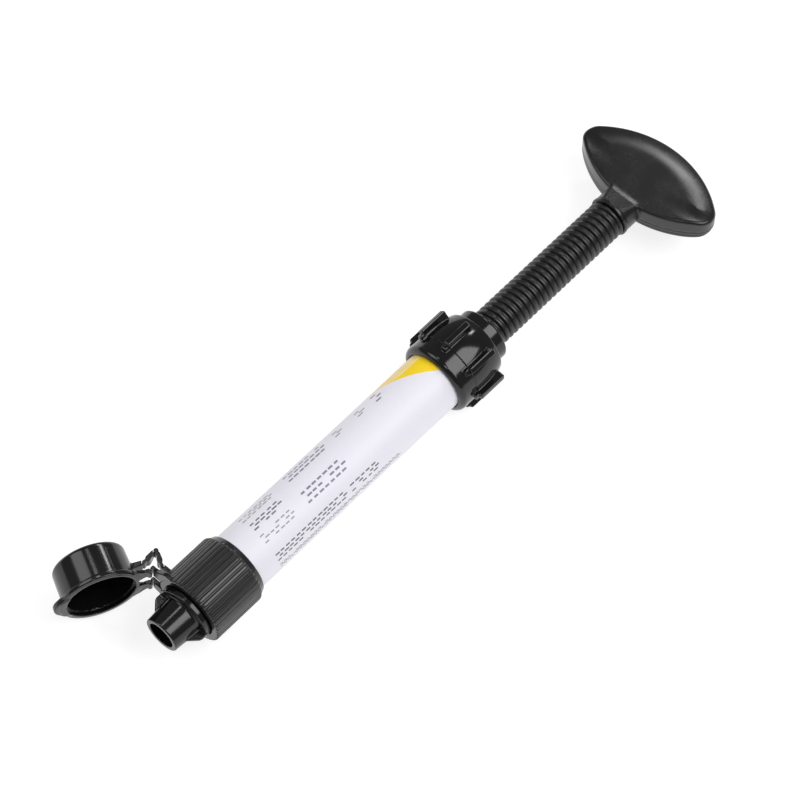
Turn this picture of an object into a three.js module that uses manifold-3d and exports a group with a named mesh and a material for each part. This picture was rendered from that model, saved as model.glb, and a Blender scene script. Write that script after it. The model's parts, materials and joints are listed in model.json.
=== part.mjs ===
// Hand-screw paste syringe: a labelled barrel with a spout and a butterfly-hinged flip lid at the front,
// and a ribbed collar, a threaded rod and a T-handle at the back. Millimetres, +Z up, the barrel along +X.
// The assembly is drawn with the spout's tip at x = 0 on the barrel's axis, then moved so that the origin is
// the centre of the footprint, on the surface that the syringe lies on.
import * as THREE from "three";
import { mergeVertices } from "three/addons/utils/BufferGeometryUtils.js";
import Module from "manifold-3d";

const wasm = await Module();
wasm.setup();

// ---- Driving dimensions: [from, to] pairs are places along the barrel's axis, R is a radius ----
const SIDES = 28; // facets of a large turned piece
const SMALL_SIDES = 16; // facets of a bead or ball

const SPOUT = { tipR: 3.0, baseR: 3.3, boreR: 2.25, base: 4.1, rimChamfer: 0.15 };
const FLANGE = { x: [4.6, 5.6], R: 4.6, neckR: 4.2 };
const SHOULDER = { x: [6.9, 7.9], R: 4.98 };
const SKIRT = { end: 10.4, R: 3.6, mouthR: 3.2, funnelStart: 5.0 };
const WING = { front: 2.1, cornerX: 3.45, tipR: 4.7, rootR: 2.9, thickness: 0.5 };

const BARREL = { x: [8.05, 62.0], R: 4.82, boreR: 3.7, bead: [10.6, 11.4], beadR: 4.98 };
const LABEL = { x: [15.2, 59.6], innerR: 4.88, R: 5.0 };

const SLEEVE = { x: [5.7, 15.95], R: 5.72, ribR: 6.0, ribs: 44, holeR: 4.75, boreR: 5.08, wallEnd: 6.8 };
const SLEEVE_REAR = { ribEnd: 14.75, R: 5.35 };

const HINGE = { x: 5.3, y: 7.5, open: 115, beadR: 0.4, gap: 0.12 };
const ARM = { z: [1.1, 2.8], front: 4.85, back: 5.4, root: 5.0 };
const SLEEVE_ARM = { x: [5.62, 6.35], top: 7.85 };
const SNAP = { reach: 2.5, length: 2.55, thickness: 0.45, halfWidth: 0.95, beadR: 0.28, foot: 0.7, atRest: 64.3 };

const LID = { rim: 5.4, end: -0.75, R: 5.8, endR: 5.65, boreR: 5.15, ceiling: -0.15, edge: 0.7 };
const LID_FLANGE = { front: 4.7, R: 6.3 };
const LID_TAB = { centre: 4.7, R: 2.6, front: 4.55 };
const LID_PLUG = { end: 0.7, tipR: 1.5, rootR: 1.95 };

const COLLAR = { x: [58.2, 67.7], mouthR: 5.1, lipR: 6.15, bodyR: 6.3, rearR: 5.35, holeR: 4.7, shoulder: 64.6 };
const GRIP = { x: [61.0, 66.1], R: 7.45, width: 1.0, count: 8, phase: 4.5, nubFront: 60.4, nubR: 6.9 };

const THREAD = { pitch: 1.1, crestR: 3.2, rootR: 2.8, rootFlat: 0.3, flank: 0.17, steps: 12 };
const NUT = { flange: [62.3, 64.4], flangeR: 4.95, end: 69.9, R: 4.5, ridgeR: 2.95, valleyR: 3.36, flankGap: 0.1 };
const ROD = { start: 47.0, end: 98.1, neckR: 1.25, ballX: 43.6, ballR: 1.9, spigotR: 1.7, spigotEnd: 103.0 };

const STEM = { x: [98.4, 104.0], discEnd: 99.0, discR: 3.5, R: 3.4, socketR: 1.76, socketEnd: 103.2 };
const FACET = { half: 3.1, endHalf: 1.65 };
const PLATE = { near: 101.4, far: 114.3, arc: 18.1, tipArc: 2.7, half: 2.15, bevel: 0.6, tilt: -4 };

const PISTON = { tip: 35.8, tipR: 1.3, noseR: 2.8, face: 38.7, end: 46.0, R: 3.35, lipR: 3.6 };
const PISTON_GROOVE = { x: [41.2, 42.8], R: 2.95 };
const SOCKET = { R: 2.05, mouthR: 1.5, mouth: 45.1 };
const RING = { section: 0.5, R: 3.12 };

const radians = THREE.MathUtils.degToRad;

// ---- Materials ----
const glossBlack = { color: 0x1d1c1e, roughness: 0.28, metalness: 0 };
const satinBlack = { color: 0x242427, roughness: 0.5, metalness: 0 };
const paper = { color: 0xecebf4, roughness: 0.45, metalness: 0 };
const naturalPlastic = { color: 0xd9d6cc, roughness: 0.4, metalness: 0 };
const rubber = { color: 0x2b2b2e, roughness: 0.75, metalness: 0 };

// ---- Geometry helpers ----

// A closed three.js geometry as a solid for cutting and joining, with its faces turned outwards.
function solid(geometry) {
  const bare = geometry.clone();
  bare.deleteAttribute("normal");
  bare.deleteAttribute("uv");
  const merged = mergeVertices(bare, 1e-4);
  const corners = merged.index.array;
  const place = merged.getAttribute("position");
  const [a, b, c] = [new THREE.Vector3(), new THREE.Vector3(), new THREE.Vector3()];
  const kept = [];
  let volume = 0;
  for (let i = 0; i < corners.length; i += 3) {
    const [p, q, r] = corners.slice(i, i + 3);
    if (p === q || q === r || r === p) continue;
    kept.push(p, q, r);
    a.fromBufferAttribute(place, p);
    b.fromBufferAttribute(place, q);
    c.fromBufferAttribute(place, r);
    volume += a.dot(b.cross(c));
  }
  if (volume < 0) kept.reverse();
  return new wasm.Manifold(
    new wasm.Mesh({ numProp: 3, vertProperties: place.array, triVerts: new Uint32Array(kept) }),
  );
}

// A solid back as a three.js geometry.
function geometryOf(made) {
  const mesh = made.getMesh();
  const geometry = new THREE.BufferGeometry();
  geometry.setAttribute("position", new THREE.BufferAttribute(new Float32Array(mesh.vertProperties), 3));
  geometry.setIndex(new THREE.BufferAttribute(new Uint32Array(mesh.triVerts), 1));
  geometry.computeVertexNormals();
  return geometry;
}

// Turns a profile of [x, r] points about the X axis. A profile that leaves the axis is closed into a ring.
function turned(profile, sides = SIDES) {
  const points = profile.map(([x, r]) => new THREE.Vector2(r, x));
  const onAxis = points[0].x === 0 && points.at(-1).x === 0;
  if (!onAxis) points.push(points[0].clone());
  return solid(new THREE.LatheGeometry(points, sides).rotateZ(-Math.PI / 2));
}

// A plain cylinder about the X axis.
function cylinder(from, to, radius, sides = SIDES) {
  return turned([[from, 0], [from, radius], [to, radius], [to, 0]], sides);
}

// [x, r] points of a rounded corner about the centre (x, r), between two angles in degrees.
function arc(x, r, radius, from, to, steps = 4) {
  return Array.from({ length: steps + 1 }, (_, i) => {
    const angle = radians(from + ((to - from) * i) / steps);
    return [x + radius * Math.cos(angle), r + radius * Math.sin(angle)];
  });
}

// A flat outline in the XY plane, given as points or a shape, made into a plate between two heights.
function plate(outline, zFrom, zTo, options = {}) {
  const shape = Array.isArray(outline)
    ? new THREE.Shape(outline.map(([x, y]) => new THREE.Vector2(x, y)))
    : outline;
  const geometry = new THREE.ExtrudeGeometry(shape, { depth: zTo - zFrom, bevelEnabled: false, ...options });
  return solid(geometry.translate(0, 0, zFrom));
}

// A round bead along Z, centred on (x, y).
function bead(x, y, radius, zFrom, zTo) {
  const geometry = new THREE.CylinderGeometry(radius, radius, zTo - zFrom, SMALL_SIDES);
  return solid(geometry.rotateX(Math.PI / 2).translate(x, y, (zFrom + zTo) / 2));
}

// A screw thread's solid about the X axis, right-handed, starting before `from` and ending past `to`.
// levels holds one pitch of the section as [share of the pitch, radius] pairs.
function threadedBar(from, to, levels) {
  const { pitch, steps } = THREAD;
  const firstTurn = Math.floor(from / pitch) - 1;
  const rows = (Math.ceil(to / pitch) + 1 - firstTurn) * steps;
  const points = [];
  const triangles = [];
  const columns = levels.length;
  for (let row = 0; row <= rows; row++) {
    const angle = (2 * Math.PI * row) / steps;
    for (const [share, radius] of levels) {
      const x = (firstTurn + row / steps + share) * pitch;
      points.push(x, radius * Math.cos(angle), radius * Math.sin(angle));
    }
  }
  const at = (row, column) => row * columns + column;
  for (let row = 0; row < rows; row++)
    for (let column = 0; column < columns - 1; column++) {
      const [a, b] = [at(row, column), at(row, column + 1)];
      const [c, d] = [at(row + 1, column), at(row + 1, column + 1)];
      triangles.push(a, b, d, a, d, c);
    }
  // Each end is closed by a fan about the axis: along one turn of the edge, and down the step of the section.
  const closeEnd = (x, edge, stepRow, flip) => {
    const centre = points.length / 3;
    points.push(x, 0, 0);
    const fan = (p, q) => triangles.push(centre, ...(flip ? [q, p] : [p, q]));
    for (let i = 0; i < steps; i++) fan(edge(i), edge(i + 1));
    for (let column = columns - 1; column > 0; column--) fan(at(stepRow, column), at(stepRow, column - 1));
  };
  closeEnd(firstTurn * pitch, (i) => at(i, 0), 0, false);
  closeEnd((firstTurn + rows / steps + 1) * pitch, (i) => at(rows - steps + i, columns - 1), rows, true);
  const geometry = new THREE.BufferGeometry();
  geometry.setAttribute("position", new THREE.Float32BufferAttribute(points, 3));
  geometry.setIndex(triangles);
  return solid(geometry);
}

// A named piece in its own node.
function piece(name, made, finish) {
  const mesh = new THREE.Mesh(geometryOf(made), new THREE.MeshStandardMaterial(finish));
  mesh.name = name;
  return mesh;
}

// ---- Barrel and front end ----

function makeSpout() {
  const { tipR, baseR, boreR, base, rimChamfer } = SPOUT;
  const foot = baseR + 0.55;
  const body = turned([
    [0, boreR + rimChamfer],
    [0, tipR - rimChamfer],
    [rimChamfer, tipR],
    [base, baseR],
    [FLANGE.x[0], foot],
    [FLANGE.x[0], FLANGE.R - rimChamfer],
    [FLANGE.x[0] + rimChamfer, FLANGE.R],
    [FLANGE.x[1], FLANGE.R],
    [FLANGE.x[1], FLANGE.neckR],
    [SHOULDER.x[0], FLANGE.neckR],
    [SHOULDER.x[0], SHOULDER.R],
    [SHOULDER.x[1], SHOULDER.R],
    [SHOULDER.x[1], SKIRT.R],
    [SKIRT.end - 0.4, SKIRT.R],
    [SKIRT.end, SKIRT.mouthR + 0.1],
    [SKIRT.end, SKIRT.mouthR],
    [SKIRT.funnelStart, boreR],
    [rimChamfer, boreR],
  ]);
  const { front, cornerX, tipR: wingR, rootR, thickness } = WING;
  const outline = [[front, rootR], [FLANGE.x[0] + 0.1, rootR], [FLANGE.x[0] + 0.1, FLANGE.R - 0.1],
    [FLANGE.x[0] - 0.1, wingR], [cornerX + 0.3, wingR], [cornerX, wingR - 0.12], [front, rootR + 0.45]];
  const wing = plate(outline, -thickness / 2, thickness / 2);
  const bore = cylinder(-1, SKIRT.funnelStart, boreR);
  return body.add(wing.subtract(bore)).add(wing.rotate([180, 0, 0]).subtract(bore));
}

function makeBarrel() {
  const { x, R, boreR, bead: snap, beadR } = BARREL;
  return turned([
    [x[0], boreR], [x[0], R - 0.2], [x[0] + 0.2, R],
    [snap[0], R], [snap[0] + 0.3, beadR], [snap[1], beadR], [snap[1], R],
    [x[1] - 0.2, R], [x[1], R - 0.2], [x[1], boreR],
  ]);
}

function makeLabel() {
  const { x, innerR, R } = LABEL;
  return turned([[x[0], innerR], [x[0], R], [x[1], R], [x[1], innerR]]);
}

// The grip ribs' cross-section: a star of trapezoid ribs, drawn one rib at a time.
function ribbedOutline() {
  const { R, ribR, ribs } = SLEEVE;
  const shape = new THREE.Shape();
  const pitch = (2 * Math.PI) / ribs;
  const corners = [[-0.36, R - 0.1], [-0.2, ribR], [0.2, ribR], [0.36, R - 0.1]];
  for (let rib = 0; rib < ribs; rib++)
    for (const [share, radius] of corners) {
      const angle = (rib + share) * pitch;
      const corner = [radius * Math.cos(angle), radius * Math.sin(angle)];
      if (rib === 0 && share === corners[0][0]) shape.moveTo(...corner);
      else shape.lineTo(...corner);
    }
  shape.closePath();
  return shape;
}

function makeSleeve() {
  const { x, R, ribR, holeR, boreR, wallEnd } = SLEEVE;
  const rear = SLEEVE_REAR;
  const ribFront = x[0] + 0.05;
  const core = turned([
    [x[0], holeR], [x[0], R - 0.15], [x[0] + 0.15, R],
    [rear.ribEnd, R], [x[1] - 0.15, rear.R], [x[1], rear.R - 0.1],
    [x[1], boreR], [wallEnd + 0.1, boreR], [wallEnd, boreR - 0.1], [wallEnd, holeR],
  ]);
  const ribs = plate(ribbedOutline(), x[0], rear.ribEnd + 1).rotate([0, 90, 0]);
  const envelope = turned([
    [ribFront, boreR + 0.3], [ribFront, R - 0.1], [ribFront + 0.2, ribR],
    [rear.ribEnd - 0.3, ribR], [rear.ribEnd + 0.3, R - 0.1], [rear.ribEnd + 0.3, boreR + 0.3],
  ]);
  const foot = snapFoot(1, boreR + 0.3);
  return core.add(ribs.intersect(envelope)).add(foot);
}

// ---- Flip lid and its butterfly hinge ----
// The hinge line is parallel to Z through (HINGE.x, HINGE.y). Lid pieces are drawn shut and turned open together.

const halfPlate = SNAP.thickness / 2;

// The foot that carries one end of the snap strap: side 1 is on the sleeve, side -1 on the lid.
function snapFoot(side, root) {
  const x = HINGE.x + side * SNAP.reach;
  const half = SNAP.foot / 2;
  const block = plate([[x - half, root], [x + half, root], [x + half * 0.7, HINGE.y], [x - half * 0.7, HINGE.y]],
    -SNAP.halfWidth, SNAP.halfWidth);
  return block.subtract(bead(x, HINGE.y, SNAP.beadR + HINGE.gap, -SNAP.halfWidth - 1, SNAP.halfWidth + 1));
}

// One plate of the snap strap, drawn from its pivot at the origin along +X, with its inner face towards +Y.
// The sleeve's plate ends in the bead at the strap's peak; the lid's plate stops short of it.
function makeSnapPlate(hasPeak) {
  const { length, halfWidth, beadR } = SNAP;
  const end = length - beadR - HINGE.gap;
  const outline = hasPeak
    ? [[0, -halfPlate], [length, -halfPlate], [length, 0], [length - 0.68, halfPlate], [0, halfPlate]]
    : [[0, -halfPlate], [end, -halfPlate], [end, 0.08], [length - 0.68, halfPlate], [0, halfPlate]];
  const strip = plate(outline, -halfWidth, halfWidth).add(bead(0, 0, beadR, -halfWidth, halfWidth));
  return hasPeak ? strip.add(bead(length, 0, beadR - 0.05, -halfWidth, halfWidth)) : strip;
}

function makeLid() {
  const { rim, end, R, endR, boreR, ceiling, edge } = LID;
  const cup = turned([
    [end, 0], ...arc(end + edge, endR - edge, edge, 180, 90), [LID_FLANGE.front, R],
    [LID_FLANGE.front, LID_FLANGE.R - 0.1], [LID_FLANGE.front + 0.1, LID_FLANGE.R], [rim - 0.1, LID_FLANGE.R],
    [rim, LID_FLANGE.R - 0.1], [rim, boreR], [ceiling + 0.4, boreR - 0.1], [ceiling, boreR - 0.5],
    [ceiling, LID_PLUG.rootR], [LID_PLUG.end - 0.2, LID_PLUG.tipR], [LID_PLUG.end, LID_PLUG.tipR - 0.3],
    [LID_PLUG.end, 0],
  ]);
  const lobe = new THREE.CylinderGeometry(LID_TAB.R, LID_TAB.R, rim - LID_TAB.front, SIDES);
  lobe.rotateZ(Math.PI / 2).translate((rim + LID_TAB.front) / 2, -LID_TAB.centre, 0);
  const tab = solid(lobe).subtract(cylinder(LID_TAB.front - 1, rim + 1, R - 0.3));
  const window = plate(
    [[LID_FLANGE.front - 0.1, R + 0.05], [rim + 1, R + 0.05], [rim + 1, 9], [LID_FLANGE.front - 0.1, 9]],
    -ARM.z[0], ARM.z[0]);
  return cup.add(tab).subtract(window).add(snapFoot(-1, R - 0.2).subtract(cylinder(-2, 9, R - 0.25)));
}

// One arm of the lid, from the rim flange to the hinge bead.
function makeLidArm([zFrom, zTo]) {
  const strip = plate([[ARM.front, ARM.root], [ARM.back, ARM.root], [ARM.back, HINGE.y], [ARM.front, HINGE.y]],
    zFrom, zTo);
  const flange = cylinder(ARM.front - 1, ARM.back + 1, LID_FLANGE.R + 0.02);
  return strip.add(bead(HINGE.x, HINGE.y, HINGE.beadR, zFrom, zTo)).subtract(flange);
}

// One arm of the sleeve, from its front ribs up and round the back of the hinge bead.
function makeSleeveArm([zFrom, zTo]) {
  const [front, back] = SLEEVE_ARM.x;
  const outline = [[front, ARM.root], [back, ARM.root], [back, SLEEVE_ARM.top - 0.3],
    [back - 0.3, SLEEVE_ARM.top], [front, SLEEVE_ARM.top]];
  const seat = bead(HINGE.x, HINGE.y, HINGE.beadR + HINGE.gap, zFrom - 1, zTo + 1);
  const behind = cylinder(SLEEVE.x[0] - 0.02, back + 1, SLEEVE.ribR + 0.02);
  const flange = cylinder(front - 1, back + 1, FLANGE.R + 0.5);
  return plate(outline, zFrom, zTo).subtract(seat).subtract(behind).subtract(flange);
}

// ---- Collar, nut, rod and handle ----

function makeCollar() {
  const { x, mouthR, lipR, bodyR, rearR, holeR, shoulder } = COLLAR;
  const body = turned([
    [x[0], mouthR], [x[0], mouthR + 0.15], ...arc(x[0] + 1.15, mouthR + 0.15, 1.0, 165, 95, 3),
    [GRIP.x[0] - 0.2, lipR + 0.05], [GRIP.x[0], bodyR], [63.2, bodyR], [64.8, bodyR - 0.15],
    [66.3, bodyR - 0.5], [x[1] - 0.1, rearR], [x[1], rearR - 0.1],
    [x[1], holeR], [shoulder, holeR], [shoulder, mouthR],
  ]);
  const rib = plate([
    [GRIP.nubFront, bodyR - 0.6], [GRIP.nubFront, GRIP.nubR - 0.1], [GRIP.nubFront + 0.15, GRIP.nubR],
    [GRIP.x[0], GRIP.nubR], [GRIP.x[0] + 0.1, GRIP.R - 0.15], [GRIP.x[0] + 0.3, GRIP.R],
    [GRIP.x[1] - 0.3, GRIP.R], [GRIP.x[1], GRIP.R - 0.3], [GRIP.x[1], rearR - 0.1], [64, bodyR - 0.6],
  ], -GRIP.width / 2, GRIP.width / 2);
  let made = body;
  for (let i = 0; i < GRIP.count; i++) {
    const turn = 90 - GRIP.phase + (360 * i) / GRIP.count;
    made = made.add(rib.rotate([turn, 0, 0]));
  }
  return made;
}

const { pitch, crestR, rootR, rootFlat, flank } = THREAD;
const share = (length) => length / pitch;

function makeNut() {
  const { flange, flangeR, end, R, ridgeR, valleyR, flankGap } = NUT;
  const blank = turned([
    [flange[0], 0], [flange[0], flangeR], [flange[1], flangeR], [flange[1], R],
    [end - 0.35, R], [end, R - 0.35], [end, 0],
  ]);
  const thread = threadedBar(flange[0], end, [
    [share(flankGap), ridgeR], [share(rootFlat - flankGap), ridgeR],
    [share(rootFlat + flank - flankGap), valleyR], [share(pitch - flank + flankGap), valleyR],
    [share(pitch + flankGap), ridgeR],
  ]);
  const mouth = turned([[end - 0.5, 0], [end - 0.5, ridgeR], [end + 0.1, valleyR + 0.3], [end + 0.1, 0]]);
  return blank.subtract(thread).subtract(mouth);
}

function makeRod() {
  const { start, end, neckR, ballX, ballR, spigotR, spigotEnd } = ROD;
  const thread = threadedBar(start, end, [
    [0, rootR], [share(rootFlat), rootR], [share(rootFlat + flank), crestR],
    [share(pitch - flank), crestR], [1, rootR],
  ]);
  const blank = turned([
    [start, 0], [start, rootR - 0.3], [start + 0.6, crestR + 0.1], [end, crestR + 0.1], [end, 0],
  ]);
  const neck = cylinder(ballX, start + 1, neckR, SMALL_SIDES);
  const ball = solid(new THREE.SphereGeometry(ballR, SMALL_SIDES, SMALL_SIDES / 2).rotateZ(Math.PI / 2));
  const spigot = cylinder(end - 1, spigotEnd, spigotR, SMALL_SIDES);
  return thread.intersect(blank).add(neck).add(ball.translate([ballX, 0, 0])).add(spigot);
}

// The T-handle's outline: a far arc and a near arc, joined by round tips.
function lensOutline() {
  const { near, far, arc: radius, tipArc } = PLATE;
  const middleX = (near + far) / 2;
  const offset = radius - (far - near) / 2;
  const tipY = Math.sqrt((radius - tipArc) ** 2 - offset ** 2);
  const turn = Math.atan2(tipY, offset);
  const shape = new THREE.Shape();
  shape.absarc(middleX - offset, 0, radius, -turn, turn, false);
  shape.absarc(middleX, tipY, tipArc, turn, Math.PI - turn, false);
  shape.absarc(middleX + offset, 0, radius, Math.PI - turn, Math.PI + turn, false);
  shape.absarc(middleX, -tipY, tipArc, Math.PI + turn, 2 * Math.PI - turn, false);
  return shape;
}

// The round stem, with a flat facet on the top and bottom that slopes down to the plate's faces.
function makeStem() {
  const { x, discEnd, R } = STEM;
  const neck = cylinder(discEnd - 0.2, x[1], R);
  const { half, endHalf } = FACET;
  const wedge = [[x[0], -half], [x[1], -endHalf], [x[1], endHalf], [x[0], half]];
  return neck.intersect(plate(wedge, -R - 1, R + 1).rotate([90, 0, 0]));
}

function makeHandle() {
  const { half, bevel } = PLATE;
  const rounded = { depth: 2 * (half - bevel), bevelEnabled: true, bevelThickness: bevel, bevelSize: bevel,
    bevelOffset: -bevel, bevelSegments: 2, curveSegments: 9 };
  const blade = plate(lensOutline(), -half + bevel, half - bevel, rounded);
  const { x, discEnd, discR, socketR, socketEnd } = STEM;
  const disc = turned([[x[0], 0], [x[0], discR - 0.1], [x[0] + 0.1, discR], [discEnd, discR], [discEnd, 0]]);
  const socket = cylinder(x[0] - 1, socketEnd, socketR, SMALL_SIDES);
  return blade.add(makeStem()).add(disc).subtract(socket);
}

// ---- Piston ----

function makePiston() {
  const { tip, tipR, noseR, face, end, R, lipR } = PISTON;
  const [grooveFrom, grooveTo] = PISTON_GROOVE.x;
  const body = turned([
    [tip, 0], [tip, tipR - 0.3], [tip + 0.3, tipR], [face, noseR], [face, lipR - 0.15], [face + 0.3, lipR],
    [face + 1.2, lipR], [face + 1.6, R], [grooveFrom, R], [grooveFrom, PISTON_GROOVE.R],
    [grooveTo, PISTON_GROOVE.R], [grooveTo, R], [end - 1.8, R], [end - 1.5, lipR], [end - 0.4, lipR],
    [end, lipR - 0.3], [end, 0],
  ]);
  const ball = new THREE.SphereGeometry(SOCKET.R, SMALL_SIDES, SMALL_SIDES / 2).rotateZ(Math.PI / 2);
  const socket = solid(ball).translate([ROD.ballX, 0, 0]);
  const mouth = turned([
    [SOCKET.mouth - 1, 0], [SOCKET.mouth - 1, SOCKET.mouthR], [SOCKET.mouth, SOCKET.mouthR],
    [end + 0.1, SOCKET.mouthR + 0.6], [end + 0.1, 0],
  ]);
  return body.subtract(socket).subtract(mouth);
}

function makePistonRing() {
  const middle = (PISTON_GROOVE.x[0] + PISTON_GROOVE.x[1]) / 2;
  return turned(arc(middle, RING.R, RING.section, -15, 195, 6));
}

// ---- The assembly ----

const fixed = new THREE.Group();
const lower = [-ARM.z[1], -ARM.z[0]];
fixed.add(
  piece("barrel_tube", makeBarrel(), satinBlack),
  piece("label", makeLabel(), paper),
  piece("spout", makeSpout(), glossBlack),
  piece("front_sleeve", makeSleeve(), satinBlack),
  piece("sleeve_arm_upper", makeSleeveArm(ARM.z), glossBlack),
  piece("sleeve_arm_lower", makeSleeveArm(lower), glossBlack),
  piece("collar", makeCollar(), glossBlack),
  piece("drive_nut", makeNut(), glossBlack),
);

// The sleeve's snap plate turns about its foot on the sleeve.
const sleevePlate = piece("snap_plate_sleeve", makeSnapPlate(true), glossBlack);
sleevePlate.position.set(HINGE.x + SNAP.reach, HINGE.y, 0);
sleevePlate.rotation.z = radians(SNAP.atRest);

// Lid pieces are placed from the hinge line, so that the group turns about it.
const lid = new THREE.Group();
lid.position.set(HINGE.x, HINGE.y, 0);
lid.rotation.z = radians(-HINGE.open);
const lidParts = [
  piece("flip_lid", makeLid(), glossBlack),
  piece("lid_arm_upper", makeLidArm(ARM.z), glossBlack),
  piece("lid_arm_lower", makeLidArm(lower), glossBlack),
];
for (const part of lidParts) part.position.set(-HINGE.x, -HINGE.y, 0);

// The lid's snap plate mirrors the sleeve's across the plane that halves the opening.
const lidPlate = piece("snap_plate_lid", makeSnapPlate(false).mirror([0, 1, 0]), glossBlack);
lidPlate.position.set(-SNAP.reach, 0, 0);
lidPlate.rotation.z = radians(180 - SNAP.atRest);
lid.add(...lidParts, lidPlate);

const drive = new THREE.Group();
const handle = piece("t_handle", makeHandle(), satinBlack);
handle.rotation.x = radians(PLATE.tilt);
drive.add(
  piece("screw_rod", makeRod(), satinBlack),
  handle,
  piece("piston", makePiston(), naturalPlastic),
  piece("piston_ring", makePistonRing(), rubber),
);

const syringe = new THREE.Group();
syringe.add(fixed, sleevePlate, lid, drive);

// The origin is the centre of the footprint, level with the lowest grip rib.
const extent = new THREE.Box3().setFromObject(syringe, true);
const middle = extent.getCenter(new THREE.Vector3());
syringe.position.set(-middle.x, -middle.y, -extent.min.z);

export default syringe;
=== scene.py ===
import json
import math
import random

import bmesh
import bpy
import numpy as np
from mathutils import Matrix, Vector


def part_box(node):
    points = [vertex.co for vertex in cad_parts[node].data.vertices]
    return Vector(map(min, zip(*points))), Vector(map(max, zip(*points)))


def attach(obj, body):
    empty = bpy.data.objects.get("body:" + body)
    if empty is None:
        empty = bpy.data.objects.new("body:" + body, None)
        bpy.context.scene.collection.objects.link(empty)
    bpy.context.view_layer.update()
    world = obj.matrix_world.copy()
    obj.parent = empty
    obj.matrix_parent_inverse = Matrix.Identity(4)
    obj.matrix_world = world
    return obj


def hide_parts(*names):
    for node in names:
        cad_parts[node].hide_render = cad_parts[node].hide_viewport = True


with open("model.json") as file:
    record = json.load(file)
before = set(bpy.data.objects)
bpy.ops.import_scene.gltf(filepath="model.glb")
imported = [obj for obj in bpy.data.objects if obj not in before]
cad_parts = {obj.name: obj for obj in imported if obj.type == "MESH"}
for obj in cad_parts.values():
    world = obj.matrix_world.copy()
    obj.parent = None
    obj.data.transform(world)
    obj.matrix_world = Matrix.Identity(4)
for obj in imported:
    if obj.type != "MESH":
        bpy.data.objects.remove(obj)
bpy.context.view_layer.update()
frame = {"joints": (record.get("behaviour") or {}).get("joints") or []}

MM = 0.001
random.seed(7)

# ---- Where things are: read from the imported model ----
spout_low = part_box("spout")[0]
label_low, label_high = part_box("label")
AXIS = (label_low + label_high) / 2
ORIGIN = Vector((spout_low.x, AXIS.y, AXIS.z))
JOINTS = {joint["name"]: joint for joint in frame["joints"]}
hinge_joint = JOINTS["lid_hinge"]
HINGE_X, HINGE_Y, _ = (Vector(hinge_joint["pos_m"]) - ORIGIN) / MM
OPEN = math.radians(hinge_joint["range_deg"][1])     # the lid is drawn shut, then turned open by this

# ---- Driving dimensions, in millimetres ----
SIDES = 128             # facets round a turned piece
FINE = 0.1              # cell of the wrapped surfaces, which some make smaller or larger

SPOUT_TIP_R, SPOUT_ROOT_R, SPOUT_BORE_R, SPOUT_LENGTH = 3.0, 3.3, 2.25, 4.1
FLANGE_FRONT, FLANGE_BACK, FLANGE_R = 4.6, 5.6, 4.6
NECK_END, NECK_R = 7.2, 4.2                       # behind the flange, inside the sleeve
STOP_FRONT, STOP_END, STOP_R = 6.9, 7.9, 4.98     # the disc that stops against the barrel's end
SKIRT_FRONT, SKIRT_END, SKIRT_R = 7.0, 10.4, 3.6
FUNNEL_START, FUNNEL_END_R = 5.0, 3.05
WING_TOP, WING_HALF, WING_TOE_X, WING_TOE_R = 4.7, 0.28, 2.1, 3.35
WING_RUN, WING_RISE = 1.35, 1.27

BARREL_R, BARREL_BORE_R, BARREL_FRONT, BARREL_END = 4.82, 3.7, 8.05, 62.0
BARREL_ROUND, RING_BEAD_X, RING_BEAD_R = 0.2, 11.0, 0.4     # the bead that the sleeve snaps over
LABEL_FRONT, LABEL_END, LABEL_R = 15.2, 59.6, 5.0

RIBS, RIB_ROOT_R, RIB_HEIGHT = 44, 5.70, 0.30
SLEEVE_FRONT, RIB_END, SLEEVE_END = 5.7, 15.0, 15.95
SLEEVE_HOLE_R, SLEEVE_BORE_R, SLEEVE_WALL_END = 4.75, 5.06, 6.8

ARM_LOW, ARM_HIGH, BEAD_R, GAP = 1.1, 2.8, 0.4, 0.12
SNAP_REACH, SNAP_LENGTH, SNAP_HALF, SNAP_WIDTH, SNAP_BEAD_R = 2.5, 2.55, 0.225, 0.95, 0.28
SNAP_SWELL, SNAP_WEB, SNAP_PEAK_R = 0.2, 0.2, 0.38
FOOT_ROOT_Y, FOOT_ROOT_HALF, FOOT_TIP_HALF = 5.4, 0.46, 0.36
SNAP_AT_REST = math.radians(64.3)

LID_RIM, LID_END, LID_R, LID_BORE_R, LID_CEILING = 5.4, -0.75, 5.8, 5.15, -0.15
LID_FLANGE_R, LID_FLANGE_FRONT, TAB_CENTRE, TAB_R, TAB_FRONT = 6.26, 4.7, 4.7, 2.57, 4.55
SEAT_FRONT, SEAT_R = 4.75, 5.38                   # the wider seat inside the lid's rim
PLUG_END, PLUG_ROOT_R, PLUG_TIP_R = 0.7, 1.95, 1.5

COLLAR_FRONT, COLLAR_END, COLLAR_LIP_R, COLLAR_R = 58.2, 67.7, 6.15, 6.3
COLLAR_STEP, COLLAR_TAPER_START, COLLAR_TAPER = 61.4, 62.5, 0.95
COLLAR_BORE_R, COLLAR_NUT_R, COLLAR_SHOULDER = 5.1, 4.7, 64.6
GRIPS, GRIP_R, GRIP_HALF, GRIP_FRONT, GRIP_END, GRIP_INNER_R = 8, 7.45, 0.5, 61.0, 66.1, 5.0
GRIP_PHASE = math.radians(4.5)
NUB_FRONT, NUB_R = 60.4, 6.9

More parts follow.
